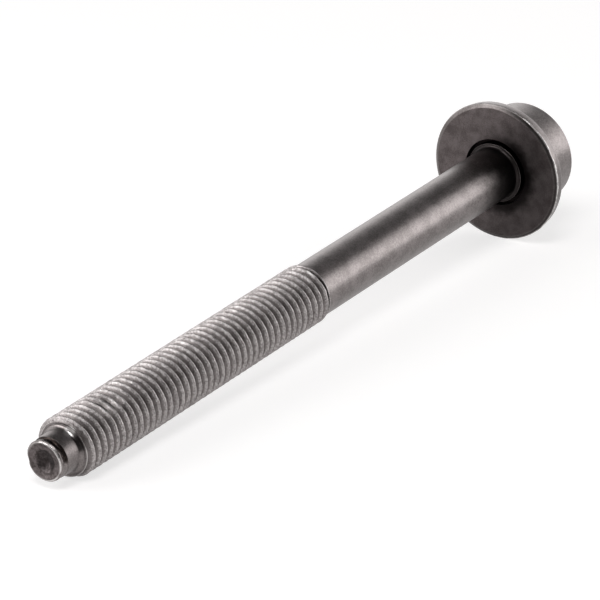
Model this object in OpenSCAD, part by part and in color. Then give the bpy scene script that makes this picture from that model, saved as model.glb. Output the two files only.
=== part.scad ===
// Cylinder head bolt, M12 x 1.75, one forged and rolled steel piece.
// It has a round head with a six-lobe socket, a broad flange with a relief groove
// round the shank, a plain shank, a right-hand thread and a pilot point.
// The bolt is drawn upright along Z, with its bearing face at height 0 and its
// point upwards, and is then laid on its flange and thread, as it rests on a bench.

/* [Head] */
// Diameter of the round head
head_d = 21; // [18:0.1:24]
// Height of the head's top above the bearing face
head_h = 13; // [11.5:0.1:17]
// Width of the chamfer round the head's top
head_edge_w = 1; // [0.2:0.1:1.4]
// Height of the chamfer round the head's top
head_edge_h = 0.7; // [0.2:0.1:1.4]
// Radius of the fillet between the head and the back of the flange
head_fillet_r = 0.7; // [0.2:0.1:1.2]

/* [Flange] */
// Diameter of the flange, at the front of its rim
flange_d = 29; // [26:0.1:34]
// Thickness of the flange at its rim
flange_t = 2.5; // [1.8:0.1:3.5]
// Amount by which the rim's back is smaller in radius than its front
rim_draft = 0.3; // [0.05:0.05:0.7]
// Rise of the flange's back from its rim to the head
back_rise = 0.6; // [0.1:0.1:1.8]
// Width of the chamfer between the bearing face and the rim
face_edge_w = 0.85; // [0.2:0.05:1.8]
// Height of the chamfer between the bearing face and the rim
face_edge_h = 0.5; // [0.1:0.05:1]

/* [Relief groove] */
// Height of the collar round the shank above the shank's own surface
collar_rise = 0.75; // [0.4:0.05:1.1]
// Reach of the collar in front of the bearing face
collar_reach = 0.4; // [0.1:0.05:1.2]
// Width of the chamfer on the collar's edge
collar_edge = 0.1; // [0.05:0.05:0.2]
// Width of the groove between the collar and the bearing face
relief_w = 0.8; // [0.5:0.05:1.4]
// Depth of the groove behind the bearing face
relief_depth = 1.4; // [0.4:0.1:2.2]

/* [Shank] */
// Diameter of the plain shank
shank_d = 10.9; // [10.2:0.05:11.3]
// Length of the shank, from the bearing face to the thread
shank_len = 66.7; // [24:0.1:140]

/* [Thread] */
// Outer diameter of the thread
thread_d = 11.9; // [11.8:0.05:12.5]
// Pitch of the thread
pitch = 1.75; // [1:0.25:2]
// Length of the thread, from the shank to the point
thread_len = 74.3; // [24:0.1:100]
// Rise of the thread's plain end above the shank's surface
blank_rise = 0.275; // [0.15:0.025:0.35]
// Least length of the thread's plain ends
plain_end = 0.15; // [0.05:0.05:0.5]
// Turns over which the grooves run out at the shank
runout_turns = 0.5; // [0.25:0.25:2]
// Length of the chamfer at the thread's tip end
start_len = 0.7; // [0.5:0.1:4]
// Depth of the thread's tip end below the bottom of its grooves
start_drop = 0.1; // [0.02:0.02:0.2]
// Angle round the axis at which the grooves run out at the shank
thread_turn = 165; // [0:15:345]
// Sides of each turn of the thread
thread_sides = 24; // [16:4:32]

/* [Point] */
// Length of the cone from the thread to the pilot band
shoulder_len = 0.8; // [0.4:0.1:2.5]
// Diameter of the pilot band, at its start
pilot_d = 8.3; // [7.1:0.1:9]
// Length of the pilot band
pilot_len = 2.8; // [1:0.1:7]
// Amount by which the pilot band's tip end is smaller in radius than its start
pilot_draft = 0.15; // [0.05:0.05:0.6]
// Depth of the groove behind the tip's rim, below the pilot band's tip end
neck_drop = 0.4; // [0.1:0.05:0.45]
// Length of the groove behind the tip's rim
neck_len = 1.05; // [0.6:0.05:2]
// Depth of the tip's rolled rim below the pilot band's tip end
rim_drop = 0; // [0:0.05:0.3]
// Length of the rolled rim
rim_len = 0.85; // [0.8:0.05:1.4]
// Width of the rim's outer chamfer
rim_edge = 0.35; // [0.05:0.05:0.4]
// Diameter of the hollow in the end face
dish_d = 6; // [3.5:0.1:6.4]
// Depth of the hollow in the end face
dish_depth = 1; // [0.2:0.1:1.6]

/* [Drive socket] */
// Number of lobes
lobes = 6; // [5:1:8]
// Diameter across the lobes
lobe_d = 13.45; // [11:0.05:14]
// Radius of each lobe's tip
lobe_r = 0.95; // [0.7:0.05:1.2]
// Depth of the flutes between the lobes
flute_depth = 1.95; // [1.2:0.05:2.1]
// Depth of the socket
socket_depth = 7.2; // [3.5:0.1:9]
// Depth of the cone at the bottom of the socket
socket_cone = 1.2; // [0.3:0.1:1.8]
// Width of the chamfer round the socket's mouth
mouth_edge = 0.4; // [0.1:0.05:0.7]

/* [Hidden] */
$fn = 96;

// Reach of a cutter into the air outside the solid
over = 1;
// Step from the thread's end down to the pilot point
step_w = 0.1;
// Length over which the shank and the point reach into the thread's core, to join it
joint_len = 1;

// Standard metric profile: a flat crest, flanks at 30 degrees and a flat root, with
// the depth of a rolled external thread
thread_depth = 17 / 24 * pitch * cos(30);
crest_w = pitch / 8;
flank_w = thread_depth * tan(30);
root_w = pitch - crest_w - 2 * flank_w;

// Radii of the turned sizes
head_r = head_d / 2;
flange_r = flange_d / 2;
back_r = flange_r - rim_draft;
face_r = flange_r - face_edge_w;
shank_r = shank_d / 2;
collar_r = shank_r + collar_rise;
relief_r = collar_r + relief_w;
thread_r = thread_d / 2;
blank_r = shank_r + blank_rise;
root_r = thread_r - thread_depth;
start_r = root_r - start_drop;
core_r = start_r - step_w;
pilot_r = pilot_d / 2;
pilot_end_r = pilot_r - pilot_draft;
neck_r = pilot_end_r - neck_drop;
rim_r = pilot_end_r - rim_drop;

// Places along the axis, counted from the bearing face towards the point
thread_end = shank_len + thread_len;
pilot_start = thread_end + shoulder_len;
neck_start = pilot_start + pilot_len;
rim_start = neck_start + neck_len;
tip = rim_start + rim_len;

// The bolt lies on the front of its flange's rim and on its thread's last full crest
crest_end = thread_end - start_len;
lean = atan((flange_r - thread_r) / (crest_end + face_edge_h));

// Circles that can reach furthest when the bolt lies, each a place and a radius
outer_circles = [
    [-head_h, head_r - head_edge_w],
    [-head_h + head_edge_h, head_r],
    [-flange_t, back_r],
    [-face_edge_h, flange_r],
    [crest_end, thread_r],
    [pilot_start, pilot_r],
    [tip - rim_edge, rim_r],
    [tip, rim_r - rim_edge]
];
head_reach = max([for (c = outer_circles) c[1] * sin(lean) - c[0] * cos(lean)]);
tip_reach = max([for (c = outer_circles) c[1] * sin(lean) + c[0] * cos(lean)]);
floor_reach = max([for (c = outer_circles) c[1] * cos(lean) + c[0] * sin(lean)]);

// Points along an arc, for the fillets of a turned outline
function arc(centre, r, from, to, steps = 6) = [
    for (i = [0:steps])
        let (a = from + (to - from) * i / steps)
        centre + r * [cos(a), sin(a)]
];

// Turned body of the head, the flange and the plain shank
module head_and_shank() {
    back_z = -flange_t - back_rise;
    fillet_r = collar_r - collar_edge - shank_r;
    rotate_extrude()
        polygon(concat(
            [
                [0, -head_h],
                [head_r - head_edge_w, -head_h],
                [head_r, -head_h + head_edge_h]
            ],
            arc([head_r + head_fillet_r, back_z - head_fillet_r], head_fillet_r, 180, 90),
            [
                [back_r, -flange_t],
                [flange_r, -face_edge_h],
                [face_r, 0],
                [relief_r, 0],
                [relief_r, -relief_depth],
                [collar_r, -relief_depth],
                [collar_r, collar_reach - collar_edge]
            ],
            arc([shank_r + fillet_r, collar_reach + fillet_r], fillet_r, 270, 180),
            [
                [shank_r, shank_len],
                [core_r, shank_len],
                [core_r, shank_len + joint_len],
                [0, shank_len + joint_len]
            ]
        ));
}

// Outline of the six-lobe socket: a star through the centres of its arcs, less the
// flutes, with a round tip on each lobe that meets the flutes smoothly
module six_lobes() {
    step = 360 / lobes;
    half = cos(step / 2);
    lobe_c = lobe_d / 2 - lobe_r;
    flute_0 = lobe_d / 2 - flute_depth;
    flute_r = (lobe_c ^ 2 + flute_0 ^ 2 - 2 * lobe_c * flute_0 * half - lobe_r ^ 2)
        / (2 * (lobe_r + lobe_c * half - flute_0));
    flute_c = flute_0 + flute_r;
    difference() {
        polygon([
            for (i = [0:lobes - 1])
                for (c = [[lobe_c, i], [flute_c, i + 0.5]])
                    c[0] * [cos(c[1] * step), sin(c[1] * step)]
        ]);
        for (i = [0:lobes - 1])
            rotate((i + 0.5) * step)
                translate([flute_c, 0])
                    circle(r = flute_r);
    }
    for (i = [0:lobes - 1])
        rotate(i * step)
            translate([lobe_c, 0])
                circle(r = lobe_r);
}

// Space cut from the head: the lobes, a cone below them and a chamfered mouth
module drive_socket() {
    lobe_depth = socket_depth - socket_cone;
    translate([0, 0, -head_h - over])
        linear_extrude(height = over + lobe_depth)
            six_lobes();
    translate([0, 0, -head_h + lobe_depth])
        cylinder(h = socket_cone, r1 = lobe_d / 2 - flute_depth, r2 = 0);
    translate([0, 0, -head_h])
        cylinder(h = mouth_edge, r1 = lobe_d / 2, r2 = lobe_d / 2 - mouth_edge);
}

// Threaded stretch: one closed solid whose points lie on helical lines, one line for
// each corner of the thread's profile. The first line runs one turn further than the
// others, because it also closes the row above it. Plain rings close both ends.
module thread() {
    n = thread_sides;
    corners = [0, crest_w, crest_w + flank_w, crest_w + flank_w + root_w];
    rows = len(corners);
    turns = floor((thread_len - 2 * plain_end) / pitch) - 1;
    steps = turns * n;
    lead_in = (thread_len - (turns + 1) * pitch) / 2;

    function blank_limit(z) =
        min(thread_r, start_r + (thread_r - start_r) * (thread_len - z) / start_len);
    function fade(m) = min(1, m / (runout_turns * n));
    function full_r(k) = k < 2 ? thread_r : root_r;
    function point_r(m, k, z) =
        min(blank_limit(z), blank_r + fade(m) * (full_r(k) - blank_r));
    function on_ring(r, i, z) = [r * cos(360 * i / n), r * sin(360 * i / n), z];
    function on_line(m, k) =
        let (z = lead_in + pitch * m / n + corners[k])
        on_ring(point_r(m, k, z), m, z);

    // Points, in the order in which the functions below find them
    lines = [for (m = [0:steps]) for (k = [0:rows - 1]) on_line(m, k)];
    last_line = [for (m = [steps + 1:steps + n]) on_line(m, 0)];
    shank_ring = [for (i = [0:n - 1]) on_ring(blank_r, i, 0)];
    tip_ring = [for (i = [0:n - 1]) on_ring(start_r, i, thread_len)];
    function at(m, k = 0) =
        k == rows ? at(m + n) : m > steps ? len(lines) + m - steps - 1 : m * rows + k;
    function at_shank(i) = len(lines) + n + i % n;
    function at_tip(i) = at_shank(0) + n + i % n;

    // Each seam is where a line's end meets a plain ring: a fan of triangles closes it
    walls = [
        for (m = [0:steps - 1])
            for (k = [0:rows - 1])
                [at(m, k), at(m, k + 1), at(m + 1, k + 1), at(m + 1, k)]
    ];
    shank_wall = [
        for (i = [0:n - 2]) [at_shank(i), at(i), at(i + 1), at_shank(i + 1)]
    ];
    shank_seam = concat(
        [[at_shank(n - 1), at(n - 1), at_shank(0)], [at_shank(0), at(n - 1), at(0)]],
        [for (k = [0:rows - 1]) [at(0, k), at(n - 1), at(0, k + 1)]]
    );
    tip_wall = [
        for (i = [1:n - 1]) [at(steps + i), at_tip(i), at_tip(i + 1), at(steps + i + 1)]
    ];
    tip_seam = concat(
        [[at(steps + 1), at_tip(0), at_tip(1)], [at(steps + 1), at(steps + n), at_tip(0)]],
        [for (k = [0:rows - 1]) [at(steps + 1), at(steps, k), at(steps, k + 1)]]
    );
    ends = [
        [for (i = [0:n - 1]) at_shank(i)],
        [for (i = [n - 1:-1:0]) at_tip(i)]
    ];
    rotate(thread_turn)
        polyhedron(
            points = concat(lines, last_line, shank_ring, tip_ring),
            faces = concat(walls, shank_wall, shank_seam, tip_wall, tip_seam, ends),
            convexity = 10
        );
}

// Turned pilot point, with a groove behind its rim and a hollow in its end face
module pilot_point() {
    rotate_extrude()
        polygon([
            [0, thread_end - joint_len],
            [core_r, thread_end - joint_len],
            [core_r, thread_end],
            [pilot_r, pilot_start],
            [pilot_end_r, neck_start],
            [neck_r, neck_start + neck_drop],
            [neck_r, rim_start],
            [rim_r, rim_start + (rim_r - neck_r)],
            [rim_r, tip - rim_edge],
            [rim_r - rim_edge, tip],
            [dish_d / 2, tip],
            [0, tip - dish_depth]
        ]);
}

// The whole bolt upright, with its bearing face at height 0
module upright_bolt() {
    difference() {
        head_and_shank();
        drive_socket();
    }
    translate([0, 0, shank_len])
        thread();
    pilot_point();
}

// The bolt as it lies: its point towards -X, centred over the origin
module bolt() {
    color("dimgray")
        translate([(tip_reach - head_reach) / 2, 0, floor_reach])
            rotate([0, -90 - lean, 0])
                upright_bolt();
}

bolt();
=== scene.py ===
# Looks of the cylinder head bolt: one bolt of steel, turned and rolled mesh by mesh, and its
# phosphate finish. It takes the place of the plain solid that the frame brings.
from math import acos, atan, atan2, ceil, cos, exp, pi, radians, sin, sqrt, tan

import bmesh
import bpy
from mathutils import Matrix, Vector, noise


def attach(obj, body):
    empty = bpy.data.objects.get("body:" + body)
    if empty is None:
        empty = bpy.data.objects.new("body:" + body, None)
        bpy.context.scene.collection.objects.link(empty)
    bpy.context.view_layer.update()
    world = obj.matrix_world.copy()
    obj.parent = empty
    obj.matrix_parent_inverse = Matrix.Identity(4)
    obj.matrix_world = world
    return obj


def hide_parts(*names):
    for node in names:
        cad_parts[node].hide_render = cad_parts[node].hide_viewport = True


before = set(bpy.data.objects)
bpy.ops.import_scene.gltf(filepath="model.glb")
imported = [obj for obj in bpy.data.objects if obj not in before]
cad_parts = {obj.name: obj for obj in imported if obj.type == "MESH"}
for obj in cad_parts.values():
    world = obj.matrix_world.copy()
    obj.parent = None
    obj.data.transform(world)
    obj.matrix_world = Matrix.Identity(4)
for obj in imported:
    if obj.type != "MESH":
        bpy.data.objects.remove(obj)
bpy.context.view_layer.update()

# Thread, M12 x 1.75 and right-handed. The real one is rolled: two dies press the grooves into
# the steel and raise the crests, so the roots are round and the crests are rough and uneven.
# All sizes of the bolt are in millimetres, along its own axis from the bearing face to the tip.
sides = 120
shank_r = 10.9 / 2
shank_len = 66.7
thread_r = 11.9 / 2
pitch = 1.75
thread_len = 74.3
lip_h = 0.275
blank_r = shank_r + lip_h
lead_in = 0.4
thread_turn = radians(165)
crest_round = 0.08
start_len = 0.7
start_drop = 0.1
wobble = 0.12
wobble_size = 1.1
dent_size = 0.45
dent_depth = 0.07
dent_share = 0.2

flank_angle = radians(30)
thread_depth = 17 / 24 * pitch * cos(flank_angle)
crest_w = pitch / 8
flank_w = thread_depth * tan(flank_angle)
root_w = pitch - crest_w - 2 * flank_w
root_r = thread_r - thread_depth
root_round = root_w / 2 / tan(flank_angle)
start_r = root_r - start_drop
thread_end = shank_len + thread_len
first_crest = shank_len + lead_in + crest_w / 2


def rounded(corners, steps=2):
    """Outline through corners of radius, place and fillet, with an arc at each fillet."""
    line = []
    for i, (r, z, fillet) in enumerate(corners):
        here = Vector((r, z))
        if not fillet:
            line.append(here)
            continue
        before = (Vector(corners[i - 1][:2]) - here).normalized()
        after = (Vector(corners[i + 1][:2]) - here).normalized()
        half = acos(max(-1, min(1, before.dot(after)))) / 2
        centre = here + (before + after).normalized() * fillet / sin(half)
        start = here + before * fillet / tan(half) - centre
        turn = before.angle_signed(after)
        sweep = (pi - 2 * half) * (1 if turn > 0 else -1)
        for k in range(steps + 1):
            line.append(centre + Matrix.Rotation(sweep * k / steps, 2) @ start)
    return line


def smooth(x):
    """0 below 0 and 1 above 1, with a smooth step between them."""
    x = max(0, min(1, x))
    return x * x * (3 - 2 * x)


bolt = bmesh.new()
groove = crest_w / 2 + flank_w
one_pitch = rounded([
    (thread_r, 0, 0),
    (thread_r, crest_w / 2, crest_round),
    (root_r, groove, root_round),
    (root_r, groove + root_w, root_round),
    (thread_r, pitch - crest_w / 2, crest_round),
    (thread_r, pitch, 0),
])
row = [bolt.verts.new((p.x, 0, p.y)) for p in one_pitch]
edges = [bolt.edges.new(pair) for pair in zip(row, row[1:])]
bmesh.ops.spin(
    bolt,
    geom=row + edges,
    cent=(0, 0, 0),
    axis=(0, 0, 1),
    dvec=(0, 0, pitch / sides),
    angle=2 * pi,
    steps=sides,
)
one_turn = bolt.verts[:] + bolt.edges[:] + bolt.faces[:]
for i in range(1, ceil(thread_len / pitch) + 3):
    copied = bmesh.ops.duplicate(bolt, geom=one_turn)["geom"]
    moved = [v for v in copied if isinstance(v, bmesh.types.BMVert)]
    bmesh.ops.translate(bolt, verts=moved, vec=(0, 0, pitch * i))
bmesh.ops.remove_doubles(bolt, verts=bolt.verts, dist=1e-4)
place = Matrix.Translation((0, 0, first_crest - 2 * pitch)) @ Matrix.Rotation(thread_turn, 4, "Z")
bmesh.ops.transform(bolt, matrix=place, verts=bolt.verts)

# The grooves start close behind a thin lip at the shank, where the dies begin, and the thread's
# tip end is chamfered. Small dents and ridges from rolling and handling mark the crests, and
# near the tip a patch of the thread is packed nearly flat.
lip_w = 0.15
ring_step = 0.15
lip_slope = 2.5
open_from = -0.2
open_len = 0.3
chamfer_len = 0.52
edge_r = 5.2
edge_len = 0.14
edge_w = 0.13
packed_at = Vector((5.0, -2.4, shank_len + 64.3))
packed_size = 2.6
packed_drop = 0.2
packed_share = 0.65

rings = [lip_w, lip_w + ring_step, lip_w + 2 * ring_step]
rings += [thread_len - x for x in (chamfer_len, edge_len + edge_w, edge_len)]
for ring in rings:
    bmesh.ops.bisect_plane(
        bolt,
        geom=bolt.verts[:] + bolt.edges[:] + bolt.faces[:],
        dist=1e-3,
        plane_co=(0, 0, shank_len + ring),
        plane_no=(0, 0, 1),
    )
for v in bolt.verts:
    along = v.co.z - shank_len
    turned = (atan2(v.co.y, v.co.x) - thread_turn) / (2 * pi)
    off_crest = (v.co.z - first_crest - pitch * turned) % pitch
    groove_at = along - off_crest + pitch / 2
    packed = exp(-((v.co - packed_at).length / packed_size) ** 2)
    r = v.co.xy.length
    worn = noise.noise(v.co / dent_size) + 0.6 * noise.noise(v.co / dent_size * 2.7)
    high = smooth((r - root_r) / thread_depth)
    r += packed_share * packed * (thread_r - packed_drop - r)
    r -= dent_depth * max(0, dent_share + worn) * high
    r = blank_r + smooth((groove_at - open_from) / open_len) * (r - blank_r)
    r = max(r, blank_r - lip_slope * max(0, along - lip_w))
    left = thread_len - along
    chamfer = (left - edge_len - edge_w) / (chamfer_len - edge_len - edge_w)
    r = min(r, edge_r + (thread_r - edge_r) * max(0, chamfer))
    r = min(r, start_r + (edge_r - start_r) * left / edge_len)
    v.co.xy = v.co.xy.normalized() * r
    if 1 < along < thread_len - 1:
        v.co.z += wobble * noise.noise(v.co / wobble_size) * high

for z, way in ((shank_len, -1), (thread_end, 1)):
    bmesh.ops.bisect_plane(
        bolt,
        geom=bolt.verts[:] + bolt.edges[:] + bolt.faces[:],
        dist=1e-3,
        plane_co=(0, 0, z),
        plane_no=(0, 0, way),
        clear_outer=True,
    )


def turn_on(rim, outline, wear=0.0):
    """Lengthens the bolt at an open rim, one round for each point of the outline. A point's
    radius is a number, or a function of the angle round the axis. Wear dents the rounds."""
    for r, z in outline:
        made = bmesh.ops.extrude_edge_only(bolt, edges=rim)["geom"]
        rim = [e for e in made if isinstance(e, bmesh.types.BMEdge) and e.is_boundary]
        for v in {v for e in rim for v in e.verts}:
            angle = atan2(v.co.y, v.co.x)
            reach = r(angle) if callable(r) else r
            at = Vector((reach * cos(angle), reach * sin(angle), z))
            if wear:
                shift = noise.noise_vector(at * 1.3) + 0.5 * noise.noise_vector(at * 3.1)
                at -= wear * Vector(abs(c) * (1 if a > 0 else -1) for c, a in zip(shift, at))
            v.co = at
    return rim


last_r = 0.05


def close_end(rim, z):
    """Closes an open rim with a fan to a point on the axis."""
    rim = turn_on(rim, [(last_r, z)])
    bmesh.ops.pointmerge(bolt, verts=list({v for e in rim for v in e.verts}), merge_co=(0, 0, z))


def open_rim(z):
    """The edges of the open rim at this place along the axis."""
    return [e for e in bolt.edges if e.is_boundary and abs(e.verts[0].co.z - z) < 1e-2]


# Pilot point. The blank's end is upset by the rolling: a hollow cone leads down to a tapered
# band, and the end face is pushed in to a cup inside a rolled rim. Behind the rim is a rough
# neck, over which the rim is lapped on one side.
step_w = 0.1
pilot_r = 8.3 / 2
pilot_draft = 0.15
shoulder_len = 0.8
pilot_len = 2.8
neck_drop = 0.4
neck_len = 1.05
rim_len = 0.85
rim_edge = 0.35
cup_r = 2.2
cup_depth = 1.0
face_drop = 0.3
lap_side = radians(190)
lap_share = 0.35
lap_drop = 0.05
rim_wear = 0.07
wear_seed = 1

pilot_start = thread_end + shoulder_len
neck_start = pilot_start + pilot_len
rim_start = neck_start + neck_len
tip = rim_start + rim_len
pilot_end_r = pilot_r - pilot_draft
neck_r = pilot_end_r - neck_drop
rim_r = pilot_end_r

cone = rounded([
    (start_r - step_w, thread_end, 0),
    (pilot_r + 0.08, thread_end + 0.25, 0.88),
    (pilot_r, pilot_start, 0.2),
    (pilot_end_r, neck_start, 0.06),
    (neck_r + 0.05, neck_start + 0.2, 0),
], 4)
rough_rim = rounded([
    (neck_r - 0.06, neck_start + 0.4, 0),
    (neck_r - 0.08, neck_start + 0.65, 0),
    (neck_r, rim_start - 0.05, 0),
    (rim_r - 0.02, rim_start + 0.15, 0.1),
    (rim_r - 0.02, tip - rim_edge, 0.15),
    (rim_r - rim_edge, tip - 0.02, 0.2),
    (rim_r - rim_edge - 0.35, tip - 0.02, 0.12),
    (cup_r + 0.5, tip - face_drop, 0.3),
    (cup_r, tip - face_drop, 0.3),
    (cup_r * 0.75, tip - cup_depth * 0.75, 0.4),
    (cup_r * 0.35, tip - cup_depth * 0.92, 0),
    (0.2, tip - cup_depth, 0),
], 4)


def lapped(point):
    """A point of the outline, raised in the neck on the side where the rim laps over it."""
    r, z = point
    if r < neck_r - 0.2 or not neck_start < z < rim_start + 0.1:
        return point
    room = pilot_end_r - lap_drop - r
    return (lambda angle: r + room * smooth(cos(angle - lap_side) / lap_share), z)


noise.seed_set(wear_seed)
rim = turn_on(open_rim(thread_end), [lapped(p) for p in cone])
close_end(turn_on(rim, [lapped(p) for p in rough_rim], rim_wear), tip - cup_depth)

# Shank, collar, flange and head, forged and turned in one. The shank stays as it was drawn,
# and a narrow groove in the flange's face leaves a collar round it.
collar_r = shank_r + 0.75
collar_reach = 0.4
relief_r = collar_r + 0.8
relief_depth = 1.4
flange_r = 29 / 2
flange_t = 2.5
rim_draft = 0.3
back_rise = 0.6
face_edge_w = 0.85
face_edge_h = 0.5
head_r = 21 / 2
head_h = 13
head_edge_w = 1
head_edge_h = 0.7
head_fillet = 0.7
lobe_reach = 13.45 / 2
mouth_edge = 0.4

body = rounded([
    (shank_r, shank_len - 0.05, 0),
    (shank_r, shank_len * 0.8, 0),
    (shank_r, shank_len * 0.6, 0),
    (shank_r, shank_len * 0.4, 0),
    (shank_r, shank_len * 0.2, 0),
    (shank_r, collar_reach, 0.6),
    (collar_r, collar_reach, 0.08),
    (collar_r, -relief_depth, 0.1),
    (relief_r, -relief_depth, 0.1),
    (relief_r, 0, 0.08),
    (flange_r - face_edge_w, 0, 0.2),
    (flange_r, -face_edge_h, 0.15),
    (flange_r - rim_draft, -flange_t, 0.2),
    (head_r, -flange_t - back_rise, head_fillet),
    (head_r, head_edge_h - head_h, 0.2),
    (head_r - head_edge_w, -head_h, 0.15),
    (lobe_reach + mouth_edge, -head_h, 0.1),
    (lobe_reach, mouth_edge - head_h, 0),
], 4)
mouth = turn_on(open_rim(shank_len), body)

# Drive socket, six lobes of size 60, pressed into the head by a punch. Each lobe's round tip
# meets the hollow flutes beside it smoothly, and the punch leaves a cone at the bottom.
lobes = 6
lobe_round = 0.95
flute_depth = 1.95
socket_depth = 7.2
socket_cone = 1.2
lobe_c = lobe_reach - lobe_round
flute_reach = lobe_reach - flute_depth
half_lobe = pi / lobes
flute_round = (
    (lobe_c**2 + flute_reach**2 - 2 * lobe_c * flute_reach * cos(half_lobe) - lobe_round**2)
    / (2 * (lobe_round + lobe_c * cos(half_lobe) - flute_reach))
)
flute_c = flute_reach + flute_round
meet_x = lobe_c + (flute_c * cos(half_lobe) - lobe_c) * lobe_round / (lobe_round + flute_round)
meet_y = flute_c * sin(half_lobe) * lobe_round / (lobe_round + flute_round)


def socket_reach(angle, shrink=0.0):
    """Reach of the six-lobe outline at an angle round the axis."""
    off = abs((angle + half_lobe) % (2 * half_lobe) - half_lobe)
    if off < atan2(meet_y, meet_x):
        return lobe_c * cos(off) + sqrt(lobe_round**2 - (lobe_c * sin(off)) ** 2) - shrink
    off = half_lobe - off
    return flute_c * cos(off) - sqrt(flute_round**2 - (flute_c * sin(off)) ** 2) - shrink


socket_floor = socket_depth - socket_cone - head_h
socket = [
    (socket_reach, mouth_edge - head_h + 0.02),
    (socket_reach, mouth_edge - head_h + 0.3),
    (socket_reach, socket_floor - 0.15),
    (lambda a: socket_reach(a, 0.15), socket_floor),
    (flute_reach * 0.9, socket_floor),
    (flute_reach * 0.5, socket_floor + socket_cone / 2),
]
close_end(turn_on(mouth, socket), socket_depth - head_h)

# Wear from handling: the flange's front edge is nicked, the cup at the tip has an off-centre
# pit, and its rim is pressed in at two places. Each nick is a place, a radius and a push.
nicks = (
    ((flange_r, radians(-64), -face_edge_h), 0.8, (-0.22, 0)),
    ((flange_r, radians(-40), -face_edge_h), 0.5, (-0.12, 0)),
    ((flange_r, radians(-98), -face_edge_h), 0.6, (-0.12, 0)),
    ((flange_r, radians(-25), -face_edge_h), 0.9, (-0.08, 0)),
    ((0.7, radians(-160), tip - cup_depth), 0.8, (0, -0.35)),
    ((rim_r, radians(-120), tip), 0.7, (-0.15, -0.15)),
    ((rim_r, radians(100), tip), 0.9, (-0.1, -0.2)),
)
for (r, angle, z), size, (out, on) in nicks:
    spot = Vector((r * cos(angle), r * sin(angle), z))
    away = Vector((cos(angle), sin(angle), 0))
    for v in bolt.verts:
        if abs(v.co.z - z) < 3 * size:
            share = exp(-((v.co - spot).length / size) ** 2)
            v.co += share * (away * out + Vector((0, 0, on)))

# The bolt at rest: it lies on the front of its flange's rim and on its last full crest, with
# its point towards -X, centred over the origin as the frame's solid is.
crest_end = thread_end - start_len
lean = atan((flange_r - thread_r) / (crest_end + face_edge_h))
floor_reach = flange_r * cos(lean) - face_edge_h * sin(lean)
head_reach = (head_r - head_edge_w) * sin(lean) + head_h * cos(lean)
tip_reach = (rim_r - rim_edge) * sin(lean) + tip * cos(lean)
middle = ((tip_reach - head_reach) / 2000, 0, floor_reach / 1000)
lay = (
    Matrix.Translation(middle)
    @ Matrix.Rotation(-pi / 2 - lean, 4, "Y")
    @ Matrix.Scale(0.001, 4)
)
bmesh.ops.recalc_face_normals(bolt, faces=bolt.faces)
bmesh.ops.transform(bolt, matrix=lay, verts=bolt.verts)
steel_mesh = bpy.data.meshes.new("steel_bolt")
bolt.to_mesh(steel_mesh)
bolt.free()
steel_mesh.shade_smooth()
steel_mesh.set_sharp_from_angle(angle=radians(35))
steel_bolt = bpy.data.objects.new("steel_bolt", steel_mesh)
bpy.context.scene.collection.objects.link(steel_bolt)


class Mark:
    """A value, colour or place that changes over the steel, as an output of its nodes."""

    def __init__(self, tree, socket=None):
        self.tree = tree
        self.socket = socket

    def node(self, kind, settings, sockets, output=0):
        """Adds a node: its settings first, then the values or links of its sockets."""
        made = self.tree.nodes.new("ShaderNode" + kind)
        for name, value in settings.items():
            setattr(made, name, value)
        for name, value in sockets.items():
            if isinstance(value, Mark):
                self.tree.links.new(value.socket, made.inputs[name])
            else:
                made.inputs[name].default_value = value
        return Mark(self.tree, made.outputs[output] if made.outputs else None)

    def sum(self, operation, *values):
        return self.node("Math", {"operation": operation}, dict(enumerate(values)))

    def __add__(self, other):
        return self.sum("ADD", self, other)

    def __sub__(self, other):
        return self.sum("SUBTRACT", self, other)

    def __rsub__(self, other):
        return self.sum("SUBTRACT", other, self)

    def __mul__(self, other):
        return self.sum("MULTIPLY", self, other)

    __radd__ = __add__
    __rmul__ = __mul__

    def between(self, low, high):
        """0 below low and 1 above high, with a smooth step between them."""
        return self.node(
            "MapRange",
            {"interpolation_type": "SMOOTHSTEP"},
            {"Value": self, "From Min": low, "From Max": high},
        )

    def below(self, low, high):
        """1 below low and 0 above high, with a smooth step between them."""
        return 1 - self.between(low, high)

    def near(self, value, width):
        """1 at the value, and 0 further from it than the width."""
        return self.sum("ABSOLUTE", self - value).below(0, width)

    def either(self, other):
        """The larger one of two values."""
        return self.sum("MAXIMUM", self, other)

    def toward(self, direction):
        """How far this place lies in a direction."""
        sockets = {0: self, 1: direction}
        return self.node("VectorMath", {"operation": "DOT_PRODUCT"}, sockets, "Value")

    def grain(self, size, detail=3.0):
        """Even noise over this place, with grains of a size in millimetres."""
        sockets = {"Vector": self, "Scale": 1 / size, "Detail": detail, "Roughness": 0.6}
        return self.node("TexNoise", {}, sockets)

    def spot(self, place, size):
        """1 at a place, and 0 further from it than the size."""
        away = self.node("VectorMath", {"operation": "DISTANCE"}, {0: self, 1: place}, "Value")
        return away.below(size / 2, size)

    def over(self, under, colour):
        """A colour laid over another one, where this value is 1."""
        under, colour = (c if isinstance(c, Mark) else (*c, 1) for c in (under, colour))
        return self.node("Mix", {"data_type": "RGBA"}, {"Factor": self, 6: under, 7: colour}, 2)


# Phosphate finish. The coat is dark grey and satin. It is rubbed lighter on the thread's crests,
# bare steel and painted highlights brighten the flange's and the tip's edges, and painted shade
# darkens the grooves and corners, the flange's face round the shank and the neck behind the rim
# of the tip.
coat_dark, coat_light = (0.15, 0.135, 0.131), (0.26, 0.235, 0.231)
crest_dark, crest_light = (0.25, 0.232, 0.229), (0.52, 0.49, 0.485)
root_colour = (0.055, 0.046, 0.045)
face_dark, face_light = (0.085, 0.071, 0.07), (0.17, 0.147, 0.147)
end_dark = (0.06, 0.05, 0.048)
# The colour of painted shade, and of the soot in the tip's neck.
shade_and_soot_colour = (0.006, 0.0045, 0.0045)
rust_colour = (0.03, 0.02, 0.016)
bare_and_highlight_colour = (0.72, 0.7, 0.69)

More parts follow.
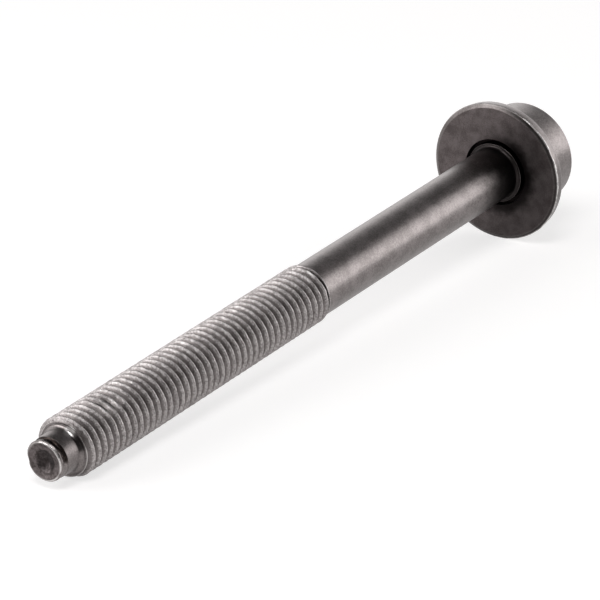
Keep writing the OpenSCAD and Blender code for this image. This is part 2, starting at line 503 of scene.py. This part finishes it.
coat = bpy.data.materials.new("phosphate_coat")
coat.use_nodes = True
coat.node_tree.nodes.clear()
start = Mark(coat.node_tree)
own = start.node(
    "Mapping",
    {"vector_type": "TEXTURE"},
    {
        "Vector": start.node("TexCoord", {}, {}, "Object"),
        "Location": middle,
        "Rotation": (0, -pi / 2 - lean, 0),
        "Scale": (0.001, 0.001, 0.001),
    },
)
along = start.node("SeparateXYZ", {}, {"Vector": own}, "Z")
flat = start.node("VectorMath", {"operation": "MULTIPLY"}, {0: own, 1: (1, 1, 0)})
reach = start.node("VectorMath", {"operation": "LENGTH"}, {0: flat}, "Value")
fine = own.grain(0.25)
specks = own.grain(0.5)
streaks = own.grain(1.2)
clouds = own.grain(3.0, 4.0)

# How far a place lies to the bolt's right, in millimetres from its axis: painted shade and
# painted highlights lie thicker on that side.
right = own.toward((-0.34, -0.94, 0))

tone = (fine * 0.35 + specks * 0.25 + clouds * 0.4).between(0.37, 0.63)
colour = tone.over(coat_dark, coat_light)

# Thread: painted shade in the grooves but for the imported patch, crests worn light, a painted
# light on one side, dark pits all over, and painted shade at the foot of the lip.
on_thread = along.between(shank_len - 0.05, shank_len + 0.02)
on_thread = on_thread * along.below(thread_end - 0.05, thread_end + 0.05)
# Painted shade: the thread's grooves are darkened where shade falls in them.
in_groove = on_thread * reach.below(root_r + 0.2, root_r + 0.8)
in_groove = in_groove * (1 - own.spot(packed_at, 3.0))
colour = (in_groove * 0.45).over(colour, root_colour)

on_crest = (reach + (specks - 0.5) * 0.4).between(thread_r - 0.5, thread_r - 0.25)
on_crest = on_thread * on_crest * along.below(thread_end - 0.6, thread_end - 0.2)
on_start = along.between(thread_end - 0.75, thread_end - 0.65)
on_start = on_start * reach.between(edge_r - 0.15, edge_r)
wear = (specks * 0.4 + fine * 0.3 + streaks * 0.3).between(0.4, 0.62)
worn_steel = wear.over(crest_dark, crest_light)
colour = on_crest.either(on_start * 0.6).over(colour, worn_steel)

# Painted light: the thread's side towards the right is painted a little lighter.
painted_light_side = own.toward((-0.12, -0.993, 0))
painted_light_share = start.sum("DIVIDE", painted_light_side, reach).between(0.7, 1.0)
colour = (on_thread * painted_light_share * 0.12).over(colour, crest_light)
pits = on_thread * own.grain(0.35, 1.0).between(0.6, 0.7)
colour = (pits * 0.7).over(colour, root_colour)

# Painted shade in the crease at the foot of the lip, on its right side.
lip_foot_shade = along.near(shank_len + 0.35, 0.35) * reach.below(blank_r - 0.12, blank_r - 0.02)
lip_foot_shade = lip_foot_shade * own.toward((0.26, -0.97, 0)).between(3.8, 5.2)
colour = lip_foot_shade.over(colour, shade_and_soot_colour)

# Flange and shank: painted shade on the bearing face and on its chamfer at the right, a painted
# shadow round the relief groove, painted shade in the groove and along the shank next to it, and
# a rim darkened at the right as painted shade.
chamfer_r = flange_r - face_edge_w
on_chamfer = along.near(-face_edge_h / 2, 0.4)
on_chamfer = on_chamfer * reach.between(chamfer_r - 0.05, chamfer_r + 0.1)
on_face = along.near(0, 0.3) * reach.between(relief_r - 0.3, relief_r) * (1 - on_chamfer)
face_tone = (clouds * 0.6 + fine * 0.4).between(0.35, 0.65)
colour = on_face.over(colour, face_tone.over(face_dark, face_light))
# Painted shade on the bearing face and its chamfer, deeper towards the right.
colour = (on_face * right.between(-5, 7) * 0.5).over(colour, shade_and_soot_colour)
colour = (on_chamfer * (0.3 + right.between(-10, 3) * 0.55)).over(colour, shade_and_soot_colour)
# Painted shade: the rim is darkened towards the right.
on_rim = along.near(-1.6, 1.2) * reach.between(flange_r - 0.5, flange_r - 0.3)
colour = (on_rim * right.between(8, 14) * 0.4).over(colour, root_colour)

# Painted shadow of the shank on the face round the relief groove, towards the right.
shadow_round_relief = (reach + (clouds - 0.5) * 2.5).below(relief_r + 0.5, 10)
shadow_round_relief = shadow_round_relief * reach.between(relief_r - 0.1, relief_r)
shadow_round_relief = shadow_round_relief * along.near(0, 0.3) * right.between(-4.5, 3)
colour = (shadow_round_relief * 0.92).over(colour, shade_and_soot_colour)
# Painted shade along the shank next to the flange.
shade_near_flange = (along + (clouds - 0.5) * 4).below(4, 15) * along.between(-3, -2)
shade_near_flange = shade_near_flange * reach.below(collar_r - 0.06, collar_r - 0.01)
colour = (shade_near_flange * 0.9).over(colour, shade_and_soot_colour)
# Painted shade in the relief groove and on the collar's side.
shade_in_relief = along.between(-3, -2) * along.below(0.15, 0.3)
shade_in_relief = shade_in_relief * reach.below(relief_r - 0.05, relief_r + 0.1)
colour = shade_in_relief.over(colour, shade_and_soot_colour)

# Tip: a patch of painted shade in the cone's fillet, soot and rust with painted shade in the neck
# but for its lapped side, a dull end face and a cup darkened with painted shade.
# Painted shade in the concave fillet of the cone.
shade_in_fillet = along.between(thread_end - 0.15, thread_end)
shade_in_fillet = shade_in_fillet * along.below(pilot_start - 0.2, pilot_start)
shade_in_fillet = shade_in_fillet * own.spot((2.3, -3.9, thread_end + 0.4), 2.1)
colour = (shade_in_fillet * 0.85).over(colour, shade_and_soot_colour)

# Soot and rust in the neck, with painted shade in this recess.
neck = (along + (streaks - 0.5) * 0.5).below(tip - 0.6, tip - 0.4)
neck = neck * along.between(neck_start - 0.05, neck_start + 0.05)
lap = start.sum("DIVIDE", own.toward((cos(lap_side), sin(lap_side), 0)), reach)
neck = neck * (lap + (streaks - 0.5) * 0.3).below(0, lap_share)
colour = (neck * 0.95).over(colour, fine.between(0.45, 0.6).over(shade_and_soot_colour, rust_colour))

end_face = along.between(tip - 1.8, tip - 1.6) * reach.below(rim_r - 0.75, rim_r - 0.45)
end_tone = (specks * 0.5 + own.grain(1.6) * 0.5).between(0.35, 0.65)
colour = end_face.over(colour, end_tone.over(end_dark, face_light))
# Painted shade inside the cup.
shade_in_cup = (reach + (specks - 0.5) * 0.8).below(cup_r - 0.6, cup_r + 0.3)
colour = (end_face * shade_in_cup * 0.6).over(colour, shade_and_soot_colour)

# Edges: a painted highlight on the flange's back edge, bare steel with painted highlights on its
# front edge and on the tip's rim, painted highlights on the thread's end edge and on two spots,
# and bare steel in chips on the crests.
# Painted highlight on the flange's back edge.
back_edge_highlight = (along + (streaks - 0.5) * 0.2).near(-flange_t, 0.25)
back_edge_highlight = back_edge_highlight * reach.between(flange_r - 0.6, flange_r - 0.4)
colour = (back_edge_highlight * 0.6).over(colour, crest_light)

# Bare steel with painted highlights on the flange's front edge, brighter towards the right.
front_edge_wear_and_highlight = (along + (streaks - 0.5) * 0.5).near(-face_edge_h, 0.35)
front_edge_wear_and_highlight = front_edge_wear_and_highlight * reach.between(flange_r - 0.25, flange_r - 0.1)
front_edge_wear_and_highlight = front_edge_wear_and_highlight * (0.15 + right.between(-1, 5) * 0.85)
# Bare steel with painted highlights on the tip's rim, towards the right.
tip_rim_wear_and_highlight = along.between(tip - 0.3, tip - 0.05) * reach.near(rim_r - 0.3, 0.3)
tip_rim_wear_and_highlight = tip_rim_wear_and_highlight * (right + streaks * 4).between(-3, 4)
# Painted highlights: a line on the thread's end edge, a glint on the last ridge and one on the
# cone.
end_edge_highlight = along.near(thread_end - edge_len - edge_w / 2, 0.12) * reach.near(edge_r, 0.15)
last_ridge_glint = own.spot((5.36, -2.5, shank_len + 0.85), 1.4)
last_ridge_glint = last_ridge_glint * reach.between(thread_r - 0.3, thread_r - 0.15)
cone_glint = own.spot((4.2, -1.9, thread_end + 0.35), 1.3) * 0.5
chips = on_crest * own.grain(0.35, 1.0).between(0.68, 0.74)
# Bare steel from wear, together with the painted highlights.
bare_and_highlight = front_edge_wear_and_highlight * (streaks.between(0.35, 0.6) * 0.8 + 0.2)
for mark in (tip_rim_wear_and_highlight, end_edge_highlight, last_ridge_glint, cone_glint, chips):
    bare_and_highlight = bare_and_highlight.either(mark)
colour = bare_and_highlight.over(colour, bare_and_highlight_colour)

rough = 0.3 + tone * 0.06 + on_thread * 0.1 + on_face * 0.2 + end_face * 0.15 - bare_and_highlight * 0.08
bump = start.node(
    "Bump",
    {},
    {"Strength": 0.4, "Distance": 0.00006, "Height": fine + specks * on_thread * 2.0},
)
shader = start.node(
    "BsdfPrincipled",
    {},
    {"Base Color": colour, "Metallic": 1.0, "Roughness": rough, "Normal": bump},
)
start.node("OutputMaterial", {}, {"Surface": shader})
steel_mesh.materials.append(coat)
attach(steel_bolt, "root")
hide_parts("bolt")

# Studio. A white floor runs out of sight, and the room is bright near the floor and dark
# overhead. Soft lamps stand at the right and at the left, and one hangs above the camera.
floor_half = 6.0
floor_glow = 1.43
camera_share = 0.45
mirror_share = 0.26

floor_mesh = bpy.data.meshes.new("studio_floor")
sheet = bmesh.new()
bmesh.ops.create_grid(sheet, x_segments=1, y_segments=1, size=floor_half)
sheet.to_mesh(floor_mesh)
sheet.free()
studio_floor = bpy.data.objects.new("studio_floor", floor_mesh)
bpy.context.scene.collection.objects.link(studio_floor)
paper = bpy.data.materials.new("white_paper")
paper.use_nodes = True
paper.node_tree.nodes.clear()
start = Mark(paper.node_tree)
share = start.node("LightPath", {}, {}, "Is Camera Ray") * camera_share
for kind in ("Is Glossy Ray", "Is Transmission Ray"):
    share = share.either(start.node("LightPath", {}, {}, kind) * mirror_share)
matt = start.node("BsdfDiffuse", {}, {"Color": (0.88, 0.86, 0.855, 1)})
glow = start.node("Emission", {}, {"Color": (1, 1, 1, 1), "Strength": floor_glow})
mixed = start.node("MixShader", {}, {0: share, 1: matt, 2: glow})
start.node("OutputMaterial", {}, {"Surface": mixed})
floor_mesh.materials.append(paper)

world = bpy.data.worlds.new("studio_room")
bpy.context.scene.world = world
world.use_nodes = True
world.node_tree.nodes.clear()
start = Mark(world.node_tree)
way = start.node("TexCoord", {}, {}, "Generated")
height = start.node("SeparateXYZ", {}, {"Vector": way}, "Z")
back = radians(35)
ahead = way.toward((cos(back), sin(back), 0))
low_light = ahead.between(-0.8, 0.0).over((0.25, 0.247, 0.247), (1.75, 1.73, 1.73))
room_light = height.between(0.2, 0.7).over(low_light, (0.1, 0.1, 0.1))
room = start.node("Background", {}, {"Color": room_light, "Strength": 1.0})
white = start.node("Background", {}, {"Color": (1, 1, 1, 1), "Strength": 1.0})
camera_ray = start.node("LightPath", {}, {}, "Is Camera Ray")
seen = start.node("MixShader", {}, {0: camera_ray, 1: room, 2: white})
start.node("OutputWorld", {}, {"Surface": seen})

lamp_distance = 0.9


def soft_lamp(name, azimuth, elevation, size, power):
    """A soft lamp aimed at the bolt. Its azimuth is counted from +X towards +Y."""
    lamp = bpy.data.lights.new(name, "AREA")
    lamp.shape = "RECTANGLE"
    lamp.size, lamp.size_y = size
    lamp.energy = power
    made = bpy.data.objects.new(name, lamp)
    a, e = radians(azimuth), radians(elevation)
    way = Vector((cos(a) * cos(e), sin(a) * cos(e), sin(e)))
    made.location = way * lamp_distance
    made.rotation_euler = way.to_track_quat("Z", "Y").to_euler()
    bpy.context.scene.collection.objects.link(made)


soft_lamp("right_softbox", -38, 17, (0.5, 0.62), 1.33)
soft_lamp("left_softbox", 143, 28, (0.42, 0.4), 3.05)
soft_lamp("top_softbox", -155, 58, (0.35, 0.35), 3.2)

# Camera, at the photograph's viewing angle: a long lens, looking down on the bolt's point.
camera = bpy.data.cameras.new("camera")
camera.lens = 240
camera.sensor_width = 36
camera.clip_end = 20
viewer = bpy.data.objects.new("camera", camera)
viewer.location = (-0.5729, -0.399, 0.29622)
target = Vector((0.0175, 0.01359, 0))
viewer.rotation_euler = (target - viewer.location).to_track_quat("-Z", "Y").to_euler()
bpy.context.scene.collection.objects.link(viewer)
bpy.context.scene.camera = viewer
bpy.context.scene.view_settings.view_transform = "Standard"
